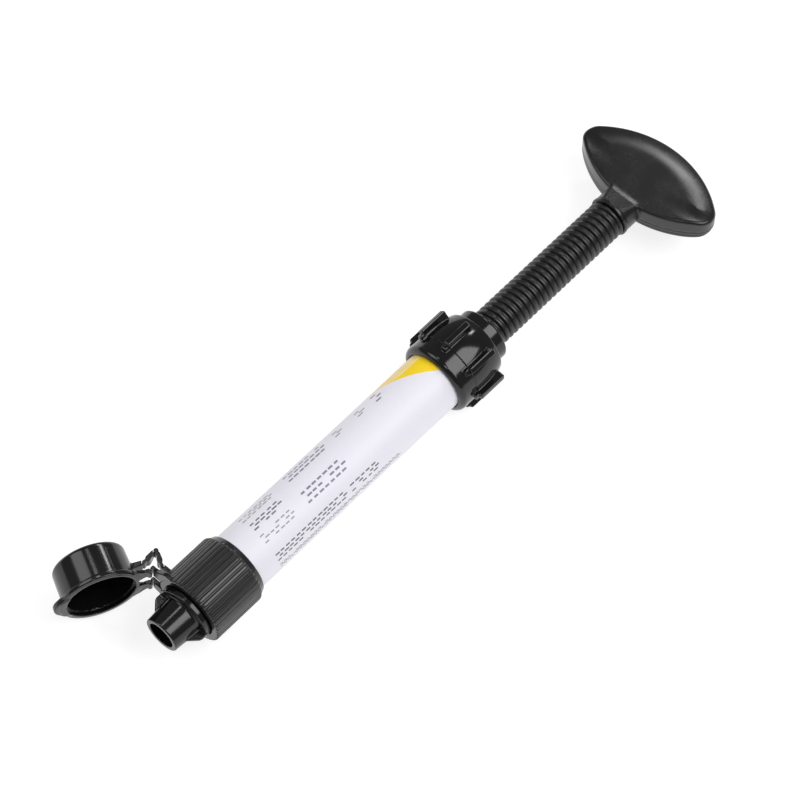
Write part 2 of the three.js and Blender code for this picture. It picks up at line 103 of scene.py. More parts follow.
PITCH, CREST_R, ROOT_R, ROOT_FLAT, FLANK, THREAD_SOFT = 1.1, 3.2, 2.8, 0.3, 0.17, 0.07
NUT_FRONT, NUT_END, NUT_R = 62.3, 69.9, 4.5
NUT_FLANGE_END, NUT_FLANGE_R, NUT_HOLE_R, NUT_THREAD = 64.4, 4.95, 2.95, 0.41
ROD_START, ROD_END, ROD_TIP_R, ROD_LEAD, SPIGOT_R, SPIGOT_END = 47.0, 98.3, 2.5, 1.2, 1.7, 103.0
BALL_X, BALL_R, BALL_SOCKET_R, ROD_NECK_R = 43.6, 1.9, 2.05, 1.25

PISTON_NOSE, PISTON_SHOULDER, PISTON_END, PISTON_R, PISTON_LIP_R = 35.8, 38.7, 46.0, 3.35, 3.6
SLOT_FRONT, SLOT_END, SLOT_R = 41.2, 42.8, 2.95
SEAL_X, SEAL_CENTRE_R, SEAL_R = 42.0, 3.12, 0.5

STEM_FRONT, STEM_STEP, STEM_END, SOCKET_END = 98.4, 99.0, 104.0, 103.2
STEM_DISC_R, STEM_R, SOCKET_R = 3.5, 3.4, 1.76
FACET_HIGH, FACET_LOW = 3.1, 1.65
PLATE_NEAR, PLATE_FAR, PLATE_ARC, PLATE_TIP_R, PLATE_HALF = 101.4, 114.28, 18.1, 2.7, 2.15
PLATE_TILT = math.radians(-4)
PLATE_ROLL, ROLL_START, ROLL_END = 0.8, 104.5, 109.0
SEAM_WIDTH, SEAMS = 0.1, ((-0.5, 0.07), (-1.1, 0.05))       # height and depth of each line round the plate


# ---- Distance functions, and how shapes are joined ----
def both(a, b, radius=0.0):
    """What lies in a and in b, its outer edge rounded to a radius."""
    if not radius:
        return np.maximum(a, b)
    past_a, past_b = np.maximum(a + radius, 0), np.maximum(b + radius, 0)
    return np.minimum(np.maximum(a, b), -radius) + np.hypot(past_a, past_b)


def either(a, b, radius=0.0):
    """What lies in a or in b, their inner corner filled to a radius."""
    return -both(-a, -b, radius)


def within(value, low, high):
    """Distance to the stretch between two values."""
    return np.abs(value - (low + high) / 2) - (high - low) / 2


def ramp(value, low, high):
    """0 below low, 1 above high, straight in between."""
    return np.clip((value - low) / (high - low), 0, 1)


def eased(value, low, high):
    """0 below low, 1 above high, with a soft start and end."""
    share = ramp(value, low, high)
    return share * share * (3 - 2 * share)


# ---- Meshes ----
def surface_of(distance, low, high, cell=FINE):
    """Points and quads of the surface where distance(x, y, z) is zero, inside a box."""
    axes = [np.arange(a - 2 * cell, b + 3 * cell, cell) for a, b in zip(low, high)]
    value = distance(*np.meshgrid(*axes, indexing="ij", sparse=True))
    shape = np.array(value.shape) - 1
    total, count, quads = np.zeros((shape.prod(), 3)), np.zeros(shape.prod()), []
    for axis in range(3):
        first = value.take(range(shape[axis]), axis)
        second = value.take(range(1, shape[axis] + 1), axis)
        crossed = (first < 0) != (second < 0)
        edge = np.argwhere(crossed)
        a, b = first[crossed], second[crossed]
        point = edge.astype(float)
        point[:, axis] += a / (a - b)
        one, two = np.eye(3, dtype=int)[(axis + 1) % 3], np.eye(3, dtype=int)[(axis + 2) % 3]
        around = [np.ravel_multi_index((edge - step).T, shape) for step in (one + two, two, 0 * one, one)]
        for cells in around:
            count += np.bincount(cells, minlength=len(count))
            for k in range(3):
                total[:, k] += np.bincount(cells, point[:, k], len(count))
        quad = np.stack(around, 1)
        quad[a > 0] = quad[a > 0][:, ::-1]
        quads.append(quad)
    used = np.flatnonzero(count)
    number = np.full(len(count), -1)
    number[used] = np.arange(len(used))
    points = total[used] / count[used, None] * cell + np.array([axis[0] for axis in axes])
    for _ in range(3):
        points -= step_to_surface(distance, points, cell)
    return points, number[np.concatenate(quads)]


def step_to_surface(distance, points, cell):
    """How far each point moves to reach the surface, from the distance and its slope."""
    reach = cell / 20
    slope = np.stack([
        (distance(*(points + offset).T) - distance(*(points - offset).T)) / (2 * reach)
        for offset in np.eye(3) * reach], 1)
    off = distance(*points.T) / np.maximum((slope ** 2).sum(1), 0.25)
    return np.clip(off, -cell / 2, cell / 2)[:, None] * slope


def revolved(outline, sides=SIDES, ripple=None):
    """Turns (x, r) points about the axis. Ends at r = 0 close in a point, and other outlines close in a ring.
    A third number in each point says how much of the ripple, a height for each side, is added to r."""
    outline = np.array(outline, float)
    capped = outline[0][1] == 0
    rings = outline[1:-1] if capped else outline
    angle = np.arange(sides) * 2 * np.pi / sides
    r = np.repeat(rings[:, 1:2], sides, 1)
    if ripple is not None:
        r = r + rings[:, 2:3] * ripple[None, :]
    x = np.repeat(rings[:, :1], sides, 1)
    points = np.stack([x, r * np.cos(angle), r * np.sin(angle)], 2).reshape(-1, 3)
    last = len(rings) - 1 if capped else len(rings)
    row, side = np.meshgrid(np.arange(last), np.arange(sides), indexing="ij")
    here, after = row * sides, (row + 1) % len(rings) * sides
    beside = (side + 1) % sides
    faces = np.stack([here + side, here + beside, after + beside, after + side], 2).reshape(-1, 4).tolist()
    if capped:
        tips = [outline[0][0], outline[-1][0]]
        points = np.vstack([points, [[tips[0], 0, 0], [tips[1], 0, 0]]])
        start, end = len(points) - 2, len(points) - 1
        for i in range(sides):
            j = (i + 1) % sides
            faces.append([start, j, i])
            faces.append([end, last * sides + i, last * sides + j])
    return points, faces


def arc(x, r, radius, start, end, steps=6):
    """(x, r) points of a rounded corner about the centre (x, r), between two angles in degrees."""
    turn = np.radians(np.linspace(start, end, steps + 1))
    return [(x + radius * math.cos(t), r + radius * math.sin(t)) for t in turn]


def turned_about_hinge(points, angle):
    """Points turned about the lid's hinge line."""
    c, s = math.cos(angle), math.sin(angle)
    x, y = points[:, 0] - HINGE_X, points[:, 1] - HINGE_Y
    return np.stack([HINGE_X + c * x - s * y, HINGE_Y + s * x + c * y, points[:, 2]], 1)


def add_piece(name, shape, material, body, replaced=(), crease=40):
    """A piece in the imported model's frame, from points in millimetres, that moves with a body."""
    points, faces = shape
    points = np.asarray(points) * MM + np.array(ORIGIN)
    mesh = bpy.data.meshes.new(name)
    faces = faces.tolist() if isinstance(faces, np.ndarray) else faces
    mesh.from_pydata(points.tolist(), [], faces)
    made = bmesh.new()
    made.from_mesh(mesh)
    bmesh.ops.dissolve_degenerate(made, dist=1e-7, edges=made.edges)
    if made.calc_volume(signed=True) < 0:
        bmesh.ops.reverse_faces(made, faces=made.faces)
    made.to_mesh(mesh)
    made.free()
    mesh.shade_smooth()
    mesh.set_sharp_from_angle(angle=math.radians(crease))
    mesh.materials.append(material)
    piece = bpy.data.objects.new(name, mesh)
    bpy.context.scene.collection.objects.link(piece)
    even = piece.modifiers.new("even_normals", "WEIGHTED_NORMAL")
    even.keep_sharp = True
    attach(piece, body)
    if replaced:
        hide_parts(*replaced)
    return piece


# ---- Materials ----
def node(tree, kind, inputs=None, **settings):
    """A shader node. Inputs are values, or the outputs that feed them."""
    made = tree.nodes.new("ShaderNode" + kind)
    for key, value in settings.items():
        setattr(made, key, value)
    for key, value in (inputs or {}).items():
        if isinstance(value, bpy.types.NodeSocket):
            tree.links.new(value, made.inputs[key])
        else:
            made.inputs[key].default_value = value
    return made


def calc(tree, operation, *values):
    """A Math node's output."""
    return node(tree, "Math", dict(enumerate(values)), operation=operation).outputs[0]


def mixed(tree, share, first, second):
    """A blend of two colours."""
    made = node(tree, "Mix", {0: share, 6: first, 7: second}, data_type="RGBA")
    return made.outputs[2]


def noise(tree, where, size, stretch=(1, 1, 1), detail=2.0):
    """Noise with features of a size in millimetres, stretched along the axes."""
    scale = [1 / (size * MM * s) for s in stretch]
    spread = node(tree, "Mapping", {"Vector": where, "Scale": scale}).outputs[0]
    return node(tree, "TexNoise", {"Vector": spread, "Scale": 1.0, "Detail": detail}).outputs["Fac"]


def new_material(name):
    """A material, its node tree, its shader and the object coordinates."""
    material = bpy.data.materials.new(name)
    material.use_nodes = True
    tree = material.node_tree
    return material, tree, tree.nodes["Principled BSDF"], node(tree, "TexCoord").outputs["Object"]


def grey(value, warmth=0.0):
    return (value * (1 + warmth), value, value * (1 - warmth), 1)


def toned(colour, factor, lift=0.0):
    """A colour scaled and lifted, no brighter than white."""
    return tuple(min(1, part * factor + lift) for part in colour[:3]) + (1,)


def moulded_plastic(name, colour, roughness, grain, grain_depth, scratch_share=0.3, wear_and_highlight_share=0.5, wear_and_highlight_tone=0.02):
    """Black or natural moulded plastic: uneven gloss, fine grain, hairline scratches, and sharp edges painted
    paler, partly as wear and partly as a painted highlight line along them.
    The grain's size is in millimetres, and the edge tone is how much paler an edge is painted, for wear and
    painted highlight."""
    material, tree, shader, where = new_material(name)
    cloud = noise(tree, where, 5.0, detail=3.0)
    fine = noise(tree, where, grain, detail=3.0)
    along = noise(tree, where, 0.06, stretch=(60, 1, 1), detail=1.0)
    across = noise(tree, where, 0.05, stretch=(1, 40, 30), detail=1.0)
    lines = calc(tree, "MAXIMUM", along, across)
    hairline = calc(tree, "SMOOTH_MAX", calc(tree, "SUBTRACT", lines, 0.72), 0.0, 0.01)
    patches = calc(tree, "GREATER_THAN", noise(tree, where, 3.0), 0.55)
    scratch = calc(tree, "MULTIPLY", calc(tree, "MULTIPLY", hairline, patches), 6.0 * scratch_share)
    # paler colour on sharp edges, found from pointiness: partly wear, partly a painted highlight line along
    # each edge
    edge = node(tree, "NewGeometry").outputs["Pointiness"]
    wear_and_highlight = node(tree, "MapRange", {"Value": edge, "From Min": 0.54, "From Max": 0.66, "To Max": wear_and_highlight_share})
    marks_and_highlight = calc(tree, "MINIMUM", calc(tree, "ADD", wear_and_highlight.outputs[0], scratch), 1.0)
    base = mixed(tree, cloud, toned(colour, 0.8), toned(colour, 1.2))
    base = mixed(tree, marks_and_highlight, base, toned(colour, 2.5, wear_and_highlight_tone))
    tree.links.new(base, shader.inputs["Base Color"])
    gloss = node(tree, "MapRange", {"Value": cloud, "From Min": 0.3, "From Max": 0.7,
                                    "To Min": roughness * 0.85, "To Max": roughness * 1.15}).outputs[0]
    gloss = calc(tree, "ADD", gloss, calc(tree, "MULTIPLY", scratch, 0.2))
    gloss = calc(tree, "ADD", gloss, calc(tree, "MULTIPLY", calc(tree, "SUBTRACT", fine, 0.5), 0.12))
    tree.links.new(gloss, shader.inputs["Roughness"])
    scored = calc(tree, "MULTIPLY", scratch, 0.3)
    relief = calc(tree, "SUBTRACT", calc(tree, "MULTIPLY", fine, grain_depth), scored)
    bump = node(tree, "Bump", {"Height": relief, "Distance": 0.02 * MM, "Strength": 0.5})
    tree.links.new(bump.outputs[0], shader.inputs["Normal"])
    shader.inputs["Specular IOR Level"].default_value = 0.5
    return material


def label_paper():
    """Coated paper, printed with a yellow corner that a thin white line cuts off from a paler edge.
    The label's own coordinates are millimetres round the barrel from its top line, and along the barrel."""
    material, tree, shader, where = new_material("label_paper")
    place = node(tree, "Attribute", attribute_name="label_place")
    split = node(tree, "SeparateXYZ", {0: place.outputs["Vector"]})
    round_it, along = split.outputs[0], split.outputs[1]
    slant_at, slant_end, slant_run, slant_bend = 56.83, 56.95, 1.33, 0.026    # the yellow corner's front edge
    yellow_low, yellow_high = -3.0, 9.0
    line_at, line_half, line_bend, line_straight, paler_over = 3.3, 0.07, 0.09, 54.4, 2.6
    curve = calc(tree, "MULTIPLY", calc(tree, "MULTIPLY", round_it, round_it), slant_bend)
    slant = calc(tree, "ADD", calc(tree, "MULTIPLY", round_it, slant_run), curve)
    yellow = node(tree, "MapRange", {"Value": calc(tree, "ADD", along, slant), "From Min": slant_at,
                                     "From Max": slant_end}).outputs[0]
    yellow = calc(tree, "MULTIPLY", yellow, calc(tree, "LESS_THAN", round_it, yellow_high))
    yellow = calc(tree, "MULTIPLY", yellow, calc(tree, "GREATER_THAN", round_it, yellow_low))
    bend = calc(tree, "MAXIMUM", calc(tree, "SUBTRACT", line_straight, along), 0.0)
    curve = calc(tree, "MULTIPLY", calc(tree, "MULTIPLY", bend, bend), line_bend)
    past = calc(tree, "SUBTRACT", round_it, calc(tree, "ADD", curve, line_at))
    white = calc(tree, "LESS_THAN", calc(tree, "ABSOLUTE", past), line_half)
    paler = node(tree, "MapRange", {"Value": past, "From Min": 0.0, "From Max": paler_over}).outputs[0]
    fibre = noise(tree, where, 0.25, stretch=(3, 1, 1), detail=4.0)
    paper = mixed(tree, fibre, (0.825, 0.81, 0.89, 1), (0.88, 0.865, 0.935, 1))
    ink = mixed(tree, calc(tree, "GREATER_THAN", past, 0.0), (1.0, 0.70, 0.009, 1), (0.98, 0.72, 0.19, 1))
    ink = mixed(tree, paler, ink, (0.96, 0.78, 0.50, 1))
    ink = mixed(tree, white, ink, (0.93, 0.90, 0.84, 1))
    tree.links.new(mixed(tree, yellow, paper, ink), shader.inputs["Base Color"])
    gloss = node(tree, "MapRange", {"Value": fibre, "To Min": 0.42, "To Max": 0.54}).outputs[0]
    tree.links.new(gloss, shader.inputs["Roughness"])
    waves = noise(tree, where, 4.0, stretch=(3, 1, 1))
    relief = calc(tree, "ADD", calc(tree, "MULTIPLY", fibre, 0.15), waves)
    bump = node(tree, "Bump", {"Height": relief, "Distance": 0.03 * MM, "Strength": 0.4})
    tree.links.new(bump.outputs[0], shader.inputs["Normal"])
    return material


def printing_ink(name, colour):
    """Ink that lies a little unevenly on the paper."""
    material, tree, shader, where = new_material(name)
    patchy = noise(tree, where, 0.12, detail=3.0)
    light = tuple(c + (1 - c) * 0.25 for c in colour[:3]) + (1,)
    tree.links.new(mixed(tree, patchy, colour, light), shader.inputs["Base Color"])
    gloss = node(tree, "MapRange", {"Value": patchy, "To Min": 0.35, "To Max": 0.55}).outputs[0]
    tree.links.new(gloss, shader.inputs["Roughness"])
    return material


GLOSS = moulded_plastic("gloss_black", grey(0.005), 0.13, 0.12, 0.2, wear_and_highlight_share=0.8, wear_and_highlight_tone=0.05)
SLEEVE_FINISH = moulded_plastic("sleeve_black", grey(0.011), 0.22, 0.10, 0.4, wear_and_highlight_share=0.8, wear_and_highlight_tone=0.06)
LID_FINISH = moulded_plastic(
    "lid_black", grey(0.006), 0.14, 0.12, 0.2, scratch_share=0.9, wear_and_highlight_share=0.8, wear_and_highlight_tone=0.05)
SATIN = moulded_plastic("satin_black", grey(0.007), 0.25, 0.09, 0.4, scratch_share=0.15, wear_and_highlight_share=0.6)
# The rod's paler edges are a painted highlight along its thread crests as well as wear.
ROD_FINISH = moulded_plastic(
    "rod_black", grey(0.007), 0.34, 0.09, 0.3, scratch_share=0.1, wear_and_highlight_share=0.8, wear_and_highlight_tone=0.08)
NATURAL = moulded_plastic("natural_plastic", grey(0.62, 0.05), 0.38, 0.15, 0.4, wear_and_highlight_share=0.0)
RUBBER = moulded_plastic("seal_rubber", grey(0.018), 0.62, 0.08, 1.0, scratch_share=0.0, wear_and_highlight_share=0.1)
PAPER = label_paper()
INKS = {
    "dark": printing_ink("ink_dark", (0.03, 0.03, 0.036, 1)),
    "violet": printing_ink("ink_violet", (0.13, 0.12, 0.20, 1)),
    "faint": printing_ink("ink_faint", (0.20, 0.19, 0.19, 1)),
}


# ---- Front end ----
def spout(x, y, z):
    """The open spout with its lid flange, two locking wings and the skirt that plugs the barrel."""
    r, side = np.hypot(y, z), np.abs(y)
    cone = r - (SPOUT_TIP_R + (SPOUT_ROOT_R - SPOUT_TIP_R) * ramp(x, 0, SPOUT_LENGTH))
    body = both(within(x, 0, SKIRT_END), cone, 0.16)
    body = either(body, both(within(x, FLANGE_FRONT, FLANGE_BACK), r - FLANGE_R, 0.2), 0.4)
    body = either(body, both(within(x, FLANGE_BACK - 0.2, NECK_END), r - NECK_R), 0.1)
    body = either(body, both(within(x, STOP_FRONT, STOP_END), r - STOP_R, 0.1), 0.1)
    body = either(body, both(within(x, SKIRT_FRONT, SKIRT_END), r - SKIRT_R, 0.16), 0.1)
    slope = (side - WING_TOE_R) * WING_RUN - (x - WING_TOE_X) * WING_RISE
    slope = slope / math.hypot(WING_RUN, WING_RISE)
    wing = both(slope, side - WING_TOP, 0.3)
    wing = both(wing, both(x - FLANGE_BACK + 0.4, 2.7 - side), 0.1)
    wing = both(wing, np.abs(z) - WING_HALF, 0.12)
    body = either(body, wing, 0.16)
    bore = SPOUT_BORE_R + (FUNNEL_END_R - SPOUT_BORE_R) * ramp(x, FUNNEL_START, SKIRT_END)
    return both(body, bore - r, 0.1)


def sleeve():
    """The fluted sleeve: ribs that start at its front face and end in a plain chamfer at the back."""
    per_rib = 16
    share = np.arange(RIBS * per_rib) / per_rib % 1.0
    ripple = RIB_HEIGHT * (eased(share, 0.10, 0.28) - eased(share, 0.72, 0.90))
    groove = RIB_ROOT_R
    outline = [(SLEEVE_FRONT, SLEEVE_HOLE_R, 0), (SLEEVE_FRONT, 5.3, 0), (SLEEVE_FRONT, groove - 0.08, 0)]
    outline += [(SLEEVE_FRONT + d, groove, w) for d, w in ((0.04, 0.6), (0.1, 0.88), (0.2, 1))]
    outline += [(x, groove, 1) for x in np.linspace(SLEEVE_FRONT + 0.8, RIB_END - 0.9, 9)]
    fade = ((0.45, 1), (0.3, 0.93), (0.17, 0.75), (0.07, 0.45), (0, 0.1))
    outline += [(RIB_END - d, groove, w) for d, w in fade]
    outline += [(RIB_END + 0.1, groove - 0.02, 0), (SLEEVE_END - 0.4, 5.48, 0)]
    outline += [(x, r, 0) for x, r in arc(SLEEVE_END - 0.18, 5.2, 0.18, 70, 0)]
    outline += [(SLEEVE_END, 5.1, 0), (SLEEVE_END - 0.08, SLEEVE_BORE_R, 0)]
    outline += [(SLEEVE_WALL_END + 0.1, SLEEVE_BORE_R, 0), (SLEEVE_WALL_END, SLEEVE_BORE_R - 0.1, 0)]
    outline += [(SLEEVE_WALL_END, SLEEVE_HOLE_R, 0)]
    return revolved(outline, RIBS * per_rib, ripple)


def strap_foot(x, y, z, foot_x):
    """A tapered block on a wall, with a hollow that takes the bead of the snap strap."""
    half = FOOT_ROOT_HALF + (FOOT_TIP_HALF - FOOT_ROOT_HALF) * ramp(y, FOOT_ROOT_Y, HINGE_Y)
    block = both(np.abs(x - foot_x) - half, y - HINGE_Y - 0.05, 0.12)
    block = both(block, np.abs(z) - SNAP_WIDTH, 0.12)
    seat = np.hypot(x - foot_x, y - HINGE_Y) - SNAP_BEAD_R - GAP
    return both(block, -seat, 0.05)


def sleeve_foot(x, y, z):
    """The snap strap's foot on the sleeve."""
    return both(strap_foot(x, y, z, HINGE_X + SNAP_REACH), 5.75 - np.hypot(y, z))


def sleeve_arm(side, flare):
    """One arm of the sleeve, which widens from the hinge to the front collar."""
    def distance(x, y, z):
        high = ARM_HIGH + flare * eased(-y, -7.3, -4.4)
        low = ARM_LOW - 0.1 * eased(-y, -7.0, -5.0)
        arm = both(within(x, 5.62, 6.35), y - 7.85, 0.25)
        arm = both(arm, within(z * side, low, high), 0.14)
        seat = np.hypot(x - HINGE_X, y - HINGE_Y) - BEAD_R - GAP
        arm = both(arm, -seat, 0.04)
        return both(arm, 5.74 - np.hypot(y, z), 0.05)
    return distance


def lid(x, y, z):
    """The lid drawn shut: a cup with a rim flange, thumb tab, two hinge arms, plug and the strap's foot."""
    r, side = np.hypot(y, z), np.abs(z)
    wall = r - (LID_R - 0.19 + 0.15 * ramp(x, LID_END, LID_RIM))
    cup = both(both(LID_END - x, wall, 0.7), x - LID_RIM, 0.1)
    tab = both(within(x, TAB_FRONT, LID_RIM), np.hypot(y + TAB_CENTRE, z) - TAB_R, 0.2)
    rim = both(within(x, LID_FLANGE_FRONT, LID_RIM), r - LID_FLANGE_R, 0.17)
    rim = either(rim, tab, 0.6)
    window = both(side - ARM_LOW + 0.05, 5.86 - y)
    rim = both(rim, -window, 0.12)
    body = either(cup, rim, 0.25)
    low = ARM_LOW - 0.25 * eased(-y, -6.9, -5.9)
    high = ARM_HIGH + 0.9 * eased(-y, -7.2, -5.2)
    arm = both(within(x, 4.85, LID_RIM), y - HINGE_Y, 0.1)
    arm = either(arm, np.hypot(x - HINGE_X, y - HINGE_Y) - BEAD_R, 0.1)
    arm = both(both(arm, within(side, low, high), 0.12), 4.9 - y)
    body = either(body, arm, 0.25)
    body = either(body, both(strap_foot(x, y, z, HINGE_X - SNAP_REACH), 5.3 - y), 0.3)
    hollow = both(LID_CEILING - x, r - LID_BORE_R, 0.4)
    hollow = either(hollow, both(SEAT_FRONT - x, r - SEAT_R))
    plug_r = PLUG_ROOT_R + (PLUG_TIP_R - PLUG_ROOT_R) * ramp(x, LID_CEILING, PLUG_END)
    plug = both(x - PLUG_END, r - plug_r, 0.15)
    hollow = both(hollow, -plug, 0.15)
    return both(body, -hollow, 0.1)


def snap_plate(has_peak):
    """One plate of the snap strap, from its bead at the origin along +x, with its inner face towards +y."""
    def distance(x, y, z):
        swell = SNAP_SWELL * (eased(x, 0.4, 0.9) - (eased(x, 2.0, 2.4) if has_peak else 0))
        web = SNAP_WEB * (eased(x, 0.35, 0.75) - eased(x, 0.95, 1.7))
        slab = both(within(x, 0, SNAP_LENGTH), within(y, -SNAP_HALF - swell, SNAP_HALF + web), 0.08)
        run, rise = 0.68, SNAP_HALF
        mitre = ((x - SNAP_LENGTH) * rise + y * run) / math.hypot(run, rise) + (0 if has_peak else 0.08)
        slab = both(slab, mitre, 0.03)
        strap = either(slab, np.hypot(x, y) - SNAP_BEAD_R, 0.08)
        peak = np.hypot(x - SNAP_LENGTH, y) - SNAP_PEAK_R
        strap = either(strap, peak, 0.1) if has_peak else both(strap, 0.1 - peak, 0.04)
        return both(strap, np.abs(z) - SNAP_WIDTH, 0.07)
    return distance


def placed_plate(shape, mirrored):
    """A snap plate moved from its own frame to its foot, and on the lid turned open with it."""
    points, faces = shape
    side = -1 if mirrored else 1
    angle = math.pi - SNAP_AT_REST if mirrored else SNAP_AT_REST
    x, y = points[:, 0], points[:, 1] * side
    c, s = math.cos(angle), math.sin(angle)
    points = np.stack([HINGE_X + side * SNAP_REACH + c * x - s * y, HINGE_Y + s * x + c * y, points[:, 2]], 1)
    return (turned_about_hinge(points, -OPEN) if mirrored else points), faces


def build_front():
    low, high = (0, -WING_TOP - 0.3, -5), (SKIRT_END, WING_TOP + 0.3, 5)
    add_piece("spout_moulding", surface_of(spout, low, high), GLOSS, "barrel", ["spout"])
    add_piece("fluted_sleeve", sleeve(), SLEEVE_FINISH, "barrel", ["front_sleeve"], crease=60)
    foot = surface_of(sleeve_foot, (7.2, 5.4, -1), (8.4, 7.7, 1), FINE * 0.6)
    add_piece("sleeve_strap_foot", foot, GLOSS, "barrel")
    for side, flare, word in ((1, 1.9, "upper"), (-1, 0.5, "lower")):
        box = sorted([side * 0.8, side * 4.9])
        arm = surface_of(sleeve_arm(side, flare), (5.5, 3.2, box[0]), (6.5, 7.9, box[1]), FINE * 0.7)
        add_piece(f"sleeve_{word}_arm", arm, GLOSS, "barrel", [f"sleeve_arm_{word}"])
    points, faces = surface_of(lid, (-0.8, -7.6, -6.4), (5.8, 8.0, 6.4))
    shut = turned_about_hinge(points, -OPEN), faces
    covered = ["flip_lid", "lid_arm_upper", "lid_arm_lower"]
    add_piece("lid_moulding", shut, LID_FINISH, "lid", covered)
    for has_peak, word, body in ((True, "sleeve", "snap_sleeve"), (False, "lid", "snap_lid")):
        plate = surface_of(snap_plate(has_peak), (-0.4, -0.7, -1), (3.0, 0.6, 1), FINE * 0.5)
        name = f"strap_plate_{word}"
        add_piece(name, placed_plate(plate, not has_peak), GLOSS, body, [f"snap_plate_{word}"])


# ---- Barrel and label ----
def barrel():
    """The barrel tube, with the bead that the sleeve snaps over."""
    corner_r = BARREL_R - BARREL_ROUND
    outline = [(BARREL_FRONT, BARREL_BORE_R), (BARREL_FRONT, corner_r - 0.02)]
    outline += arc(BARREL_FRONT + BARREL_ROUND, corner_r, BARREL_ROUND, 180, 90)
    outline += [(RING_BEAD_X - 0.4, BARREL_R)] + arc(RING_BEAD_X, BARREL_R - 0.24, RING_BEAD_R, 140, 40)
    outline += [(RING_BEAD_X + 0.4, BARREL_R), (30, BARREL_R)]
    outline += arc(BARREL_END - BARREL_ROUND, corner_r, BARREL_ROUND, 90, 0)
    return revolved(outline + [(BARREL_END, BARREL_BORE_R)])


def add_label():
    """The label, wound once round the barrel with its end lapped over its start underneath."""
    lap, layer, inner = 1.6, 0.05, 4.86
    sides = SIDES * 2
    circumference = 2 * math.pi * LABEL_R
    start = -circumference / 2
    length = LABEL_END - LABEL_FRONT
    rows = np.concatenate([[0, 0.06], np.linspace(0.5, length - 0.5, 40), [length - 0.06, length]])
    arcs = start + np.arange(sides) * circumference / sides
    lift = layer * (1 - eased(arcs - start, lap, lap + 0.15))
    points, places = [], []
    for surface in ("outer", "inner"):
        for row in rows if surface == "outer" else rows[::-1]:
            for a, raised in zip(arcs, lift):
                corner = row in (rows[0], rows[-1])
                r = LABEL_R - layer + raised - (0.03 if corner else 0) if surface == "outer" else inner
                angle = a / LABEL_R
                points.append((LABEL_FRONT + row, r * math.sin(angle), r * math.cos(angle)))
                places.append((a, LABEL_FRONT + row, 0))
    total = 2 * len(rows)
    faces = [[i * sides + j, i * sides + (j + 1) % sides, (i + 1) % total * sides + (j + 1) % sides,
              (i + 1) % total * sides + j] for i in range(total) for j in range(sides)]
    piece = add_piece("wound_label", (points, faces), PAPER, "barrel", ["label"])
    place = piece.data.attributes.new("label_place", "FLOAT_VECTOR", "POINT")
    place.data.foreach_set("vector", np.array(places, np.float32).ravel())


def printed_mark(x_from, x_to, arc_from, arc_to):
    """A thin slab on the label, from its place along and round the barrel."""
    low, high, steps = LABEL_R - 0.06, LABEL_R - 0.035, 4
    points, faces = [], []
    for r in (low, high):
        for x in (x_from, x_to):
            for a in np.linspace(arc_from, arc_to, steps):
                points.append((x, r * math.sin(a / LABEL_R), r * math.cos(a / LABEL_R)))

    def at(level, end, k):
        return (level * 2 + end) * steps + k

    for k in range(steps - 1):
        faces.append([at(1, 0, k), at(1, 1, k), at(1, 1, k + 1), at(1, 0, k + 1)])
        faces.append([at(0, 0, k), at(0, 0, k + 1), at(0, 1, k + 1), at(0, 1, k)])
        faces.append([at(0, 0, k), at(1, 0, k), at(1, 0, k + 1), at(0, 0, k + 1)])
        faces.append([at(0, 1, k), at(0, 1, k + 1), at(1, 1, k + 1), at(1, 1, k)])
    faces.append([at(0, 0, 0), at(0, 1, 0), at(1, 1, 0), at(1, 0, 0)])
    last = steps - 1
    faces.append([at(0, 0, last), at(1, 0, last), at(1, 1, last), at(0, 1, last)])
    return points, faces


def row_of_marks(x_from, x_to, middle, height, cell, stroke):
    """Two or three rows of plain dashes, laid like bricks, that stand in for a line of print."""
    marks = []
    cells = max(1, round((x_to - x_from) / cell))
    step = (x_to - x_from) / cells
    for number, level in enumerate(np.linspace(-0.5, 0.5, 3 if height > 4.5 * stroke else 2)):
        centre = middle + level * (height - stroke)
        for i in range(cells):
            left = x_from + (i + 0.5 * (number % 2)) * step
            if random.random() < 0.08:
                continue
            start = left + random.uniform(0, 0.15) * step
            end = left + random.uniform(0.65, 0.85) * step
            marks.append((start, end, centre - stroke / 2, centre + stroke / 2))
    return marks


def add_printing():
    """Lines of dashes where such a label carries its batch, date and maker. Nothing is spelled out."""
    rows = {
        "dark": [(19.8, 25.8, 0.95, 1.3, 1.1, 0.24), (19.6, 41.2, -5.2, 1.35, 1.15, 0.24)],
        "violet": [(29.2, 37.2, 3.45, 1.9, 1.2, 0.3), (47.9, 49.3, 3.3, 1.9, 1.2, 0.3),
                   (28.6, 36.9, -1.25, 2.0, 1.2, 0.32)],
        "faint": [(19.6, 26.0, 3.4, 1.2, 1.1, 0.2), (39.4, 40.8, 3.4, 1.2, 1.1, 0.2),
                  (44.1, 45.6, 3.3, 1.2, 1.1, 0.2), (19.6, 26.0, -1.5, 1.4, 1.1, 0.2),
                  (19.8, 45.4, -7.1, 0.8, 0.8, 0.17)],
    }
    for ink, lines in rows.items():
        points, faces = [], []
        for line in lines:
            for mark in row_of_marks(*line):
                more_points, more_faces = printed_mark(*mark)
                faces += [[i + len(points) for i in face] for face in more_faces]
                points += more_points
        add_piece(f"printed_dashes_{ink}", (points, faces), INKS[ink], "barrel")


